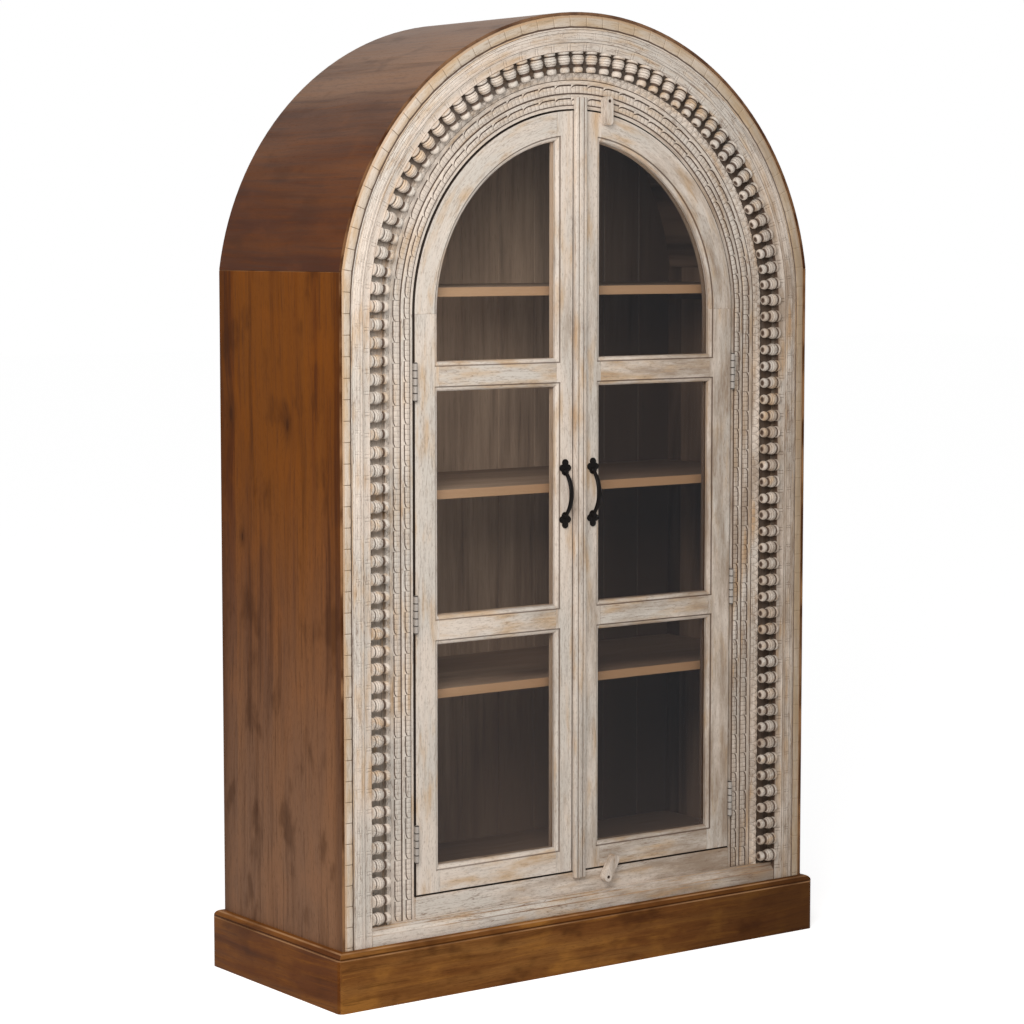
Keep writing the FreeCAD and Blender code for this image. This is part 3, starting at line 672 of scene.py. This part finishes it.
def carved_run_tree():
    tree, recipe, given = tree_with(
        "carved run", Geometry=("Tile",), Int=("Count",), Material=("Finish",),
        Float=("Repeat", "Column", "Bend", "Inner radius", "Width", "Half width", "Spring height", "Front",
               "Unevenness", "Seed"))
    line = row_of_points(recipe, given["Count"])
    copies = recipe.node("GeometryNodeInstanceOnPoints", {"Points": line, "Instance": given["Tile"]})
    laid = recipe.node("GeometryNodeRealizeInstances", {"Geometry": copies})
    x, across, height = recipe.parts(recipe.node("GeometryNodeInputPosition"))
    run = x * given["Repeat"]
    place = recipe.vector(run, across, height)
    marked = recipe.node("GeometryNodeStoreNamedAttribute", {"Geometry": laid, "Name": "run", "Value": place},
                         data_type="FLOAT_VECTOR", domain="POINT")
    hand = recipe.noise(recipe.vector(run * 60, across * 160, given["Seed"]), detail=2) - 0.5
    front = recipe.sum("GREATER_THAN", height, -0.004)
    height = height + hand * given["Unevenness"] * front
    angle, level = path_point(run, given["Column"], given["Bend"], given["Spring height"])
    cosine = recipe.sum("COSINE", angle)
    limit = given["Half width"] / abs(cosine).most(0.01)
    outer = (given["Inner radius"] + given["Width"]).least(limit)
    radius = given["Inner radius"] + across * (outer - given["Inner radius"]) / given["Width"]
    moved = recipe.vector(radius * cosine * -1, given["Front"] - height,
                          radius * recipe.sum("SINE", angle) + level)
    bent = recipe.node("GeometryNodeSetPosition", {"Geometry": marked, "Position": moved})
    joined = recipe.node("GeometryNodeMergeByDistance", {"Geometry": bent, "Distance": 2 * weld})
    end_tree(recipe, joined, given["Finish"])
    return tree


def worked_out(mesh, tree, values):
    """The plain mesh that a tree makes of a mesh."""
    holder = put_in_scene("pattern", mesh)
    modifier = holder.modifiers.new("pattern", "NODES")
    modifier.node_group = tree
    for socket in tree.interface.items_tree:
        if socket.in_out == "INPUT" and socket.name in values:
            modifier[socket.identifier] = values[socket.name]
    evaluated = holder.evaluated_get(bpy.context.evaluated_depsgraph_get())
    result = bpy.data.meshes.new_from_object(evaluated)
    holder.modifiers.remove(modifier)
    bpy.data.objects.remove(holder)
    return result


def closed(mesh):
    """Cap the open ends of a run and turn its faces outwards."""
    made = bmesh.new()
    made.from_mesh(mesh)
    bmesh.ops.holes_fill(made, edges=[edge for edge in made.edges if edge.is_boundary], sides=0)
    bmesh.ops.recalc_face_normals(made, faces=made.faces)
    made.to_mesh(mesh)
    made.free()
    smooth_below(mesh, carved_crease)
    return mesh


run_tree = carved_run_tree()


def carved_strip(tile, wash, inner, width, front_depth, bottom, repeat, seed, unevenness):
    """Strip of whole tiles up one post, over the arch and down the other."""
    bend = inner + width / 2
    column = spring_z - bottom
    length = 2 * column + math.pi * bend
    count = round(length / repeat)
    mesh = worked_out(tile, run_tree, {
        "Count": count, "Repeat": length / count, "Column": column, "Bend": bend, "Inner radius": inner,
        "Width": width, "Half width": front_half_width, "Spring height": spring_z,
        "Front": front_y + front_depth * MM, "Unevenness": unevenness * MM, "Seed": seed, "Finish": wash})
    return closed(mesh)


# Each section gives points for one share of a repeat: across, height in millimetres, darkness of the cut from
# grime and painted shade

def leaf_section(width, margin):
    """Flat ribbon with a deep line that curls inwards at the foot of each leaf."""
    rim = min(1.6, margin / 4)

    def section(share):
        curl = min(max(1 - share / 0.34, 0.0), 0.999)
        hook = width - margin - 7.6 * (1 - math.sqrt(1 - curl * curl))
        ends = cut_at(share, 0.024, 0, 1)
        tick = 0.62 * cut_at(share, 0.026, 0.27, 0.5, 0.75)
        drop = 1.1 * max(ends, tick)
        cut = 2.0 * eased((share - 0.01) / 0.05)
        dark = eased((share - 0.01) / 0.04)
        foot = max(dark, ends)
        cross = max(ends * 0.8, tick)
        return [(0, -1.3, 1), (1.4, -0.9, 0.9), (2.6, 0.1 - drop * 0.5, cross),
                (hook - 5.6, 0.4 - drop, cross), (hook - 2.6, 0.2 - drop, cross),
                (hook - 1.2, -0.4 - drop, max(cross, foot * 0.9)), (hook - 0.2, 0.1 - drop - cut, foot),
                (hook + 0.6, -0.2 - drop, dark * 0.9), (hook + 1.4, 0.5 - drop * 0.5, 0),
                (width - rim, 0.5 - drop * 0.5, ends * 0.3), (width - rim / 2, 0.1, 0.5), (width, -0.8, 1)]
    return section


leaf_stations = (0, 0.012, 0.026, 0.045, 0.07, 0.1, 0.135, 0.17, 0.21, 0.245, 0.27, 0.295, 0.34,
                 0.475, 0.5, 0.525, 0.725, 0.75, 0.775, 0.974, 0.988, 1)


def edge_section(share):
    """Slim bead, a deep scalloped line, then a broad flat band cut across between the scallops."""
    wave = 1.3 * (1 - math.sqrt(max(math.sin(math.pi * share), 0.0)))
    notch = cut_at(share, 0.03, 0, 1)
    drop = 0.8 * notch
    mark = notch * 0.8
    return [(0, -1.6, 0.6), (1, -0.5, 0.1), (2.8, -0.3, 0), (3.8 + wave * 0.5, -1, 0.8), (5 + wave, -1.9, 1),
            (6.2 + wave, -1, 0.9), (7.6 + wave, -drop, mark), (14, 0.1 - drop, mark), (20, -drop, mark),
            (26.6, -0.2 - drop, mark), (28.8, -1 - drop * 0.5, 0.25), (30, -2.4, 0.5)]


edge_stations = (0, 0.015, 0.03, 0.07, 0.14, 0.24, 0.36, 0.5, 0.64, 0.76, 0.86, 0.93, 0.97, 0.985, 1)


def notched_section(share):
    """Long sunk bricks between thin lines."""
    cut = cut_at(share, 0.018, 0.44, 0.56)
    low = -0.1 - 0.8 * cut
    mark = cut * 0.6
    return [(0, -1.6, 0.6), (1.2, -0.3, 0.2), (5.2, 0.1, 0), (6.2, -1, 0.6), (7.3, low, mark),
            (12.2, low + 0.2, mark), (13.2, -0.8, 0.3), (14.2, low + 0.2, mark), (18.4, low + 0.1, mark),
            (19.4, -1, 0.6), (20.4, 0.1, 0), (22.4, 0, 0), (23.2, -0.6, 0.3), (24, 0.35, 0), (25.2, 0.25, 0),
            (26, -1.2, 0.7)]


notched_stations = (0, 0.2, 0.4, 0.425, 0.44, 0.455, 0.5, 0.545, 0.56, 0.575, 0.6, 0.8, 1)


def cove_section(share):
    """Hollow that falls towards the spindles, cut across in pairs."""
    cut = cut_at(share, 0.02, 0.4, 0.56)
    drop = 0.7 * cut
    mark = cut * 0.8
    return [(0, -4.4, 0.8), (0.8, -3.1, 0.3), (4.5, -3 - drop, mark), (9, -2.5 - drop, mark),
            (13, -1.6 - drop, mark), (16, -0.6 - drop * 0.5, cut * 0.4), (17.2, -0.1, 0), (18, -1.1, 0.8)]


cove_stations = (0, 0.2, 0.36, 0.385, 0.4, 0.415, 0.48, 0.545, 0.56, 0.575, 0.6, 0.8, 1)


def rope_section(share):
    """Plain fillet, a deep line, then a rising row of petals with beads between their tips."""
    points = [(0, -4.5, 0.4), (0.8, -4, 0), (7.2, -4, 0), (8.4, -5.4, 1)]
    for place in range(9):
        level = place / 8
        inside = 1 - ((share - 0.5) / 0.43) ** 2 - (level / 0.92) ** 2
        between = 1 - (min(share, 1 - share) / 0.2) ** 2 - ((level - 0.78) / 0.3) ** 2
        petal = math.sqrt(max(inside, 0.0))
        bead = math.sqrt(max(between, 0.0))
        mark = math.exp(-(inside / 0.3) ** 2) * (1 - bead) * 0.5
        points.append((9.4 + 13.2 * level, 7.4 * level - 4.0 + 2.2 * petal + 1.6 * bead, min(1.0, mark)))
    return points + [(23, 1.5, 0.5)]


rope_stations = tuple(step / 12 for step in range(13))

leaf_repeat = 42 * MM
petal_repeat = 18 * MM

# Kind of strip, finish, section and its stations, inner radius, width, depth of the face and unevenness
# in millimetres, repeat, seed
strip_plans = (
    ("edge", edge_wash, edge_section, edge_stations, notched_outer * 1000 - 3, 30, 0, 1.6, leaf_repeat, 3.3),
    ("notched", strip_wash, notched_section, notched_stations, notched_inner * 1000, 26, 0.5, 0.8,
     leaf_repeat, 5.9),
    ("cove", strip_wash, cove_section, cove_stations, bed_outer * 1000, 18, 1, 0.8, leaf_repeat, 8.1),
    ("rope", strip_wash, rope_section, rope_stations, rope_outer * 1000 - 23, 23, 20, 2, petal_repeat, 11.4),
)
base_depth = (base_y - front_y) * 1000

for kind, wash, section, stations, inner, width, depth, unevenness, repeat, seed in strip_plans:
    tile = carved_tile(stations, section, base_depth - depth)
    posts, arch = kind + "_moulding_posts", kind + "_moulding_arch"
    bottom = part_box(posts)[0].z
    mesh = carved_strip(tile, wash, inner * MM, width * MM, depth, bottom, repeat, seed, unevenness)
    new_piece("carved_" + kind + "_strip", mesh, wash, "whitewashed_wood", "cabinet", posts, arch)

# Inner radius, width and outer margin in millimetres, seed
leaf_plans = ((424.5, 23.5, 8.8, 2.1), (448.5, 19.5, 1.6, 6.2))
leaf_unevenness = 0.7
leaf_depth = (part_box("leaf_moulding_arch")[0].y - front_y) * 1000
leaf_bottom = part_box("leaf_moulding_posts")[0].z
leaves = bmesh.new()
for inner, width, margin, seed in leaf_plans:
    tile = carved_tile(leaf_stations, leaf_section(width, margin), base_depth - leaf_depth)
    leaves.from_mesh(carved_strip(tile, strip_wash, inner * MM, width * MM, leaf_depth, leaf_bottom,
                                  leaf_repeat, seed, leaf_unevenness))
leaf_mesh = mesh_of(leaves, "carved_leaf_strips")
smooth_below(leaf_mesh, carved_crease)
new_piece("carved_leaf_strips", leaf_mesh, strip_wash, "whitewashed_wood", "cabinet",
          "leaf_moulding_posts", "leaf_moulding_arch")


# Turned spindles

spindle_gap = 0.3 * MM
spindle_length = bed_outer - rope_outer - 2 * spindle_gap
spindle_depth = 8.0 * MM
spindle_sides = 14
post_spindles = 34
arch_spindles = 46
least_girth = 0.955

# Share of the length from the inner end, radius in millimetres, darkness of the cuts from grime and painted
# shade
spindle_profile = (
    (0.08, 0, 1), (0.06, 2.3, 1), (0, 3, 0.8), (0, 8.4, 0.1), (0.03, 9.9, 0), (0.1, 10.9, 0),
    (0.18, 10.7, 0), (0.25, 9.2, 0.35), (0.3, 7.8, 0.9), (0.36, 7.7, 0.8), (0.4, 9.2, 0.4), (0.43, 11, 0),
    (0.465, 11.5, 0), (0.48, 10.9, 0.7), (0.5, 12, 0), (0.56, 13.1, 0), (0.6, 13.3, 0), (0.615, 12.6, 0.75),
    (0.63, 13.5, 0), (0.68, 13.5, 0), (0.73, 13, 0), (0.745, 12.2, 0.75), (0.76, 12.5, 0), (0.8, 11.6, 0),
    (0.84, 9.7, 0.6), (0.87, 9.5, 0.95), (0.895, 11.6, 0.3), (0.93, 12.9, 0), (1, 12.6, 0.2), (1, 0, 0.3))


def around(sides):
    """Cosine and sine of each side of a round piece."""
    return [(math.cos(math.tau * side / sides), math.sin(math.tau * side / sides)) for side in range(sides)]


def skinned(name, shells):
    """Mesh of closed shells, each a row of rings of point and cut darkness pairs, grime and painted shade. A
    ring of one point is a tip.
    """
    made = bmesh.new()
    mark = made.verts.layers.float.new("cut_grime_and_shade")
    for shell in shells:
        rings = []
        for ring in shell:
            verts = [made.verts.new(point) for point, cut_grime_and_shade in ring]
            for vert, (point, cut_grime_and_shade) in zip(verts, ring):
                vert[mark] = cut_grime_and_shade
            rings.append(verts)
        for first, second in zip(rings, rings[1:]):
            count = max(len(first), len(second))
            for side in range(count):
                following = (side + 1) % count
                made.faces.new(dict.fromkeys((first[side % len(first)], first[following % len(first)],
                                              second[following % len(second)], second[side % len(second)])))
        for end in (rings[0], rings[-1]):
            if len(end) > 2:
                made.faces.new(end)
    bmesh.ops.recalc_face_normals(made, faces=made.faces)
    return mesh_of(made, name)


def turned_spindle(sides):
    """Spindle lying along Y, its inner end at the origin and Z out of the front."""
    rings = []
    for along, radius, cut_grime_and_shade in spindle_profile:
        turns = around(sides) if radius else [(0, 0)]
        rings.append([((radius * MM * cosine, along * spindle_length, radius * MM * sine), cut_grime_and_shade)
                      for cosine, sine in turns])
    return skinned("spindle", [rings])


def spindle_row_tree():
    tree, recipe, given = tree_with(
        "spindle row", Geometry=("Spindle",), Int=("Count", "Seed"), Material=("Finish",),
        Float=("Step", "Start", "Column", "Bend", "Inner radius", "Spring height", "Axis depth"))
    line = row_of_points(recipe, given["Count"])
    run = given["Start"] + (recipe.node("GeometryNodeInputIndex") + 0.5) * given["Step"]
    angle, level = path_point(run, given["Column"], given["Bend"], given["Spring height"])
    cosine = recipe.sum("COSINE", angle)
    sine = recipe.sum("SINE", angle)
    centre = recipe.vector(given["Inner radius"] * cosine * -1, given["Axis depth"],
                           given["Inner radius"] * sine + level)
    placed = recipe.node("GeometryNodeSetPosition", {"Geometry": line, "Position": centre})
    facing = recipe.node("FunctionNodeAxesToRotation", {
        "Primary Axis": (0, -1, 0), "Secondary Axis": recipe.vector(sine, 0, cosine)},
        primary_axis="Z", secondary_axis="X")
    turn = recipe.node("FunctionNodeRandomValue", {2: 0.0, 3: math.tau, "Seed": given["Seed"]}, output=1,
                       data_type="FLOAT")
    rolled = recipe.node("FunctionNodeEulerToRotation", {0: recipe.vector(0, turn, 0)})
    rotation = recipe.node("FunctionNodeRotateRotation", {0: facing, 1: rolled}, rotation_space="LOCAL")
    girth = recipe.node("FunctionNodeRandomValue", {2: least_girth, 3: 1.0, "Seed": given["Seed"] + 7},
                        output=1, data_type="FLOAT")
    copies = recipe.node("GeometryNodeInstanceOnPoints", {
        "Points": placed, "Instance": given["Spindle"], "Rotation": rotation,
        "Scale": recipe.vector(girth, 1, girth)})
    end_tree(recipe, copies, given["Finish"])
    return tree


spindle_tree = spindle_row_tree()
spindle_column = spring_z - sill_top
spindle_bend = (rope_outer + bed_outer) / 2
for name, count, start, reach, seed in (
        ("left_spindles", post_spindles, 0, spindle_column, 11),
        ("arch_spindles", arch_spindles, spindle_column, math.pi * spindle_bend, 23),
        ("right_spindles", post_spindles, spindle_column + math.pi * spindle_bend, spindle_column, 37)):
    mesh = worked_out(turned_spindle(spindle_sides), spindle_tree, {
        "Count": count, "Step": reach / count, "Start": start, "Column": spindle_column, "Bend": spindle_bend,
        "Inner radius": rope_outer + spindle_gap, "Spring height": spring_z,
        "Axis depth": front_y + spindle_depth, "Seed": seed, "Finish": spindle_wash})
    smooth_below(mesh, spindle_crease)
    new_piece("turned_" + name, mesh, spindle_wash, "whitewashed_wood", "cabinet", name)


# Eased boards

# Folds in degrees above which an edge is eased, where the moulding or the barrel is finer than a board
plinth_edge = 35
hinge_edge = 40

for side in ("left", "right"):
    softened(side + "_side_panel", wide_ease, side_wood, side + "_side_board")
    softened("plinth_" + side, board_ease, short_plinth_wood, side + "_plinth_board", degrees=plinth_edge)
softened("arch_roof", board_ease, roof_wood, "roof_boards")
for side in ("front", "back"):
    softened("plinth_" + side, board_ease, long_plinth_wood, side + "_plinth_board", degrees=plinth_edge)

softened("sill_moulding", board_ease, sill_wash, "sill_band")
softened("front_sill", low_ease, sill_wash, "sill_board")
softened("floor_panel", low_ease, level_inside, "floor_board")
for height in ("top", "middle", "lower"):
    softened(height + "_shelf", wide_ease, level_inside, height + "_shelf_board")

for side in ("left", "right"):
    for part in ("hinge_stile", "meeting_stile"):
        softened(side + "_" + part, fine_ease, upright_wash, side + "_" + part + "_wood")
    for part in ("upper_rail", "lower_rail", "bottom_rail"):
        softened(side + "_" + part, fine_ease, level_wash, side + "_" + part + "_wood")
    softened(side + "_arch_rail", fine_ease, arched_wash, side + "_arch_rail_wood")


# Astragal, with a reed between two quirks

astragal_tip = 1.5 * MM
astragal_taper = 0.93

# Half of its section: distance from the middle and height in millimetres, darkness of the quirks from grime
# and painted shade
astragal_half = ((15, 0, 0), (15, 6.4, 0), (13.8, 8.3, 0.1), (11.8, 9, 0), (7.9, 9, 0.1), (7, 8.2, 0.6),
                 (6.2, 7.4, 0.7), (5.4, 8.4, 0.5), (4.4, 9.6, 0), (2.2, 9.95, 0))


def astragal_mesh():
    low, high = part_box("astragal")
    outline = list(astragal_half) + [(-x, depth, cut_grime_and_shade) for x, depth, cut_grime_and_shade in reversed(astragal_half)]
    rings = []
    for z, size in ((low.z, astragal_taper), (low.z + astragal_tip, 1), (high.z - astragal_tip, 1),
                    (high.z, astragal_taper)):
        rings.append([((x * size * MM, door_y - depth * size * MM, z), cut_grime_and_shade)
                      for x, depth, cut_grime_and_shade in outline])
    return skinned("astragal_wood", [rings])


astragal_wood = astragal_mesh()
smooth_below(astragal_wood, astragal_crease)
new_piece("astragal_wood", astragal_wood, upright_wash, "whitewashed_wood", nodes["astragal"]["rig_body"],
          "astragal")


# Turn latches, their peg holes painted dark as shade

peg_inset = 10 * MM
peg_radius = 4.9 * MM

for height in ("top", "bottom"):
    latch = softened(height + "_latch", board_ease, latch_wash, height + "_latch_wood")
    low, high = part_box(height + "_latch")
    peg_x = {"top": (low.x + high.x) / 2, "bottom": low.x + peg_inset}[height]
    peg_z = {"top": high.z - peg_inset, "bottom": low.z + peg_inset}[height]
    cuts = latch.data.attributes.new("cut_grime_and_shade", "FLOAT", "FACE")
    for face in latch.data.polygons:
        if math.hypot(face.center.x - peg_x, face.center.z - peg_z) < peg_radius:
            cuts.data[face.index].value = 1.0


# Pulls, in millimetres from the middle of each

plate_reach = 55
foot_reach = 46
plate_sides = 56
bow_sides = 14
bow_steps = 22
bow_front = 3.5
bow_foot = 3.0

# Middle and radius of each lobe, height and inset of each level of a plate
plate_lobes = ((0, -8.5, 8.5), (7.2, -1, 7.3), (-7.2, -1, 7.3), (0, 10.2, 7.3))
plate_levels = ((0, 0), (2.5, 0), (3.5, 0.5), (3.9, 1.4))


def lobe_reach(cosine, sine):
    """How far the plate of a pull reaches from its middle in one direction."""
    reach = 5.0
    for x, z, radius in plate_lobes:
        along = x * cosine + z * sine
        inside = along * along - x * x - z * z + radius * radius
        if inside > 0:
            reach = max(reach, along + math.sqrt(inside))
    return reach


def pull_shells(centre, end):
    """Plate at one end of a pull, three screws on it and the foot of the bow."""

    def point(x, z, height):
        return (centre.x + x * MM, centre.y - height * MM, centre.z + end * z * MM), 0

    def level(height, inset):
        ring = []
        for cosine, sine in around(plate_sides):
            reach = lobe_reach(cosine, sine) - inset
            ring.append(point(reach * cosine, plate_reach + reach * sine, height))
        return ring

    def dome(x, z, radius, base, rise):
        rings = []
        for share in (0, 0.35, 0.65, 0.88):
            width = radius * math.sqrt(1 - share * share)
            rings.append([point(x + width * cosine, z + width * sine, base + rise * share)
                          for cosine, sine in around(bow_sides)])
        rings.append([point(x, z, base + rise)])
        return rings

    plate = [level(height, inset) for height, inset in plate_levels]
    foot = dome(0, foot_reach, radius=6.2, base=3.4, rise=4.6)
    screws = [dome(x, plate_reach + z, radius=2.7, base=3.6, rise=1.5) for x, z, lobe in plate_lobes[1:]]
    return [plate, foot] + screws


def pull_mesh(side):
    """A bow that swells towards its middle, between two plates."""
    low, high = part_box(side + "_pull")
    centre = Vector(((low.x + high.x) / 2, door_y, (low.z + high.z) / 2))
    crown = (high.y - low.y) / MM - bow_front
    rise = crown - bow_foot
    bend = (foot_reach * foot_reach + rise * rise) / (2 * rise)
    sweep = math.asin(foot_reach / bend)
    rings = []
    for step in range(bow_steps + 1):
        place = step / (bow_steps / 2) - 1
        angle = place * sweep
        swell = 1 - abs(place) ** 3
        half_width = 4.2 + 1.2 * swell
        half_depth = 3.2 + 0.3 * swell
        ring = []
        for cosine, sine in around(bow_sides):
            arm = bend + half_depth * sine
            height = crown - bend + arm * math.cos(angle)
            ring.append(((centre.x + half_width * cosine * MM, centre.y - height * MM,
                          centre.z + arm * math.sin(angle) * MM), 0))
        rings.append(ring)
    return skinned(side + "_pull_iron", [rings] + pull_shells(centre, 1) + pull_shells(centre, -1))


for side in ("left", "right"):
    mesh = pull_mesh(side)
    smooth_below(mesh, pull_crease)
    new_piece(side + "_pull_iron", mesh, black_iron, "black_iron", nodes[side + "_pull"]["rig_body"],
              side + "_pull")


# Hinges

for node in ("hinge_frame_leaves", "left_hinge_leaves", "right_hinge_leaves"):
    softened(node, fine_ease, hinge_steel, node.replace("hinge", "steel_hinge"), degrees=hinge_edge)


# CAD nodes that stay as they are

def finish_node(material, *names):
    for name in names:
        for slot in nodes[name].material_slots:
            slot.material = material


finish_node(upright_inside, "back_planks")
finish_node(depth_inside, "shelf_cleats")
finish_node(base_post_wash, "left_front_post", "right_front_post")
finish_node(base_arch_wash, "front_arch")
finish_node(upright_inside, "left_glazing_beads", "right_glazing_beads", "latch_pins")
finish_node(pane_glass, "left_arch_glass", "right_arch_glass", "left_lower_glass", "right_lower_glass")
finish_node(hinge_steel, "hinge_pins")


# Studio

def lamp(name, place, aim, width, height, watts, colour):
    light = bpy.data.lights.new(name, "AREA")
    light.shape = "RECTANGLE"
    light.size = width
    light.size_y = height
    light.energy = watts
    light.color = colour
    holder = put_in_scene(name, light)
    holder.location = place
    holder.rotation_euler = (Vector(aim) - Vector(place)).to_track_quat("-Z", "Y").to_euler()


def seen_by_eye(recipe):
    """1 where a ray comes from the camera, a shiny surface or glass."""
    path = recipe.node("ShaderNodeLightPath")
    shiny = path.output("Is Glossy Ray").most(path.output("Is Transmission Ray"))
    return path.output("Is Camera Ray").most(shiny)


def studio_floor():
    material, recipe = new_recipe("studio floor")
    paper = recipe.node("ShaderNodeBsdfDiffuse", {"Color": (0.86, 0.86, 0.86, 1)})
    glow = recipe.node("ShaderNodeEmission", {"Color": (1, 1, 1, 1), "Strength": 0.66})
    lit = recipe.node("ShaderNodeAddShader", {0: paper, 1: glow})
    surface = recipe.node("ShaderNodeMixShader", {0: seen_by_eye(recipe), 1: paper, 2: lit})
    recipe.node("ShaderNodeOutputMaterial", {"Surface": surface})
    reach = 30
    corners = [(-reach, -reach, 0), (reach, -reach, 0), (reach, reach, 0), (-reach, reach, 0)]
    mesh = bpy.data.meshes.new("studio_floor")
    mesh.from_pydata(corners, [], [(0, 1, 2, 3)])
    mesh.materials.append(material)
    floor = put_in_scene("studio_floor", mesh)


def studio_world():
    world = bpy.data.worlds.new("studio")
    bpy.context.scene.world = world
    world.use_nodes = True
    world.node_tree.nodes.clear()
    recipe = Recipe(world.node_tree)
    soft = recipe.node("ShaderNodeBackground", {"Color": (1, 1, 1, 1), "Strength": 0.39})
    white = recipe.node("ShaderNodeBackground", {"Color": (1, 1, 1, 1), "Strength": 1.0})
    surface = recipe.node("ShaderNodeMixShader", {0: seen_by_eye(recipe), 1: soft, 2: white})
    recipe.node("ShaderNodeOutputWorld", {"Surface": surface})


studio_floor()
studio_world()
lamp("key", place=(-2.0, -2.0, 2.4), aim=(-0.2, -0.2, 1.1), width=1.5, height=1.5, watts=68,
     colour=(1.0, 0.985, 0.97))

# The viewpoint of the photograph: place in metres, dip and turn in degrees
camera_place = (-3.7077, -5.0410, 1.5360)
camera_dip = 5.34
camera_turn = 36.17
camera = bpy.data.cameras.new("camera")
camera.lens = 102.7
camera.sensor_width = 36
camera_holder = put_in_scene("camera", camera)
camera_holder.location = camera_place
camera_holder.rotation_euler = (math.radians(90 - camera_dip), 0, math.radians(-camera_turn))
bpy.context.scene.camera = camera_holder
bpy.context.scene.view_settings.view_transform = "Standard"
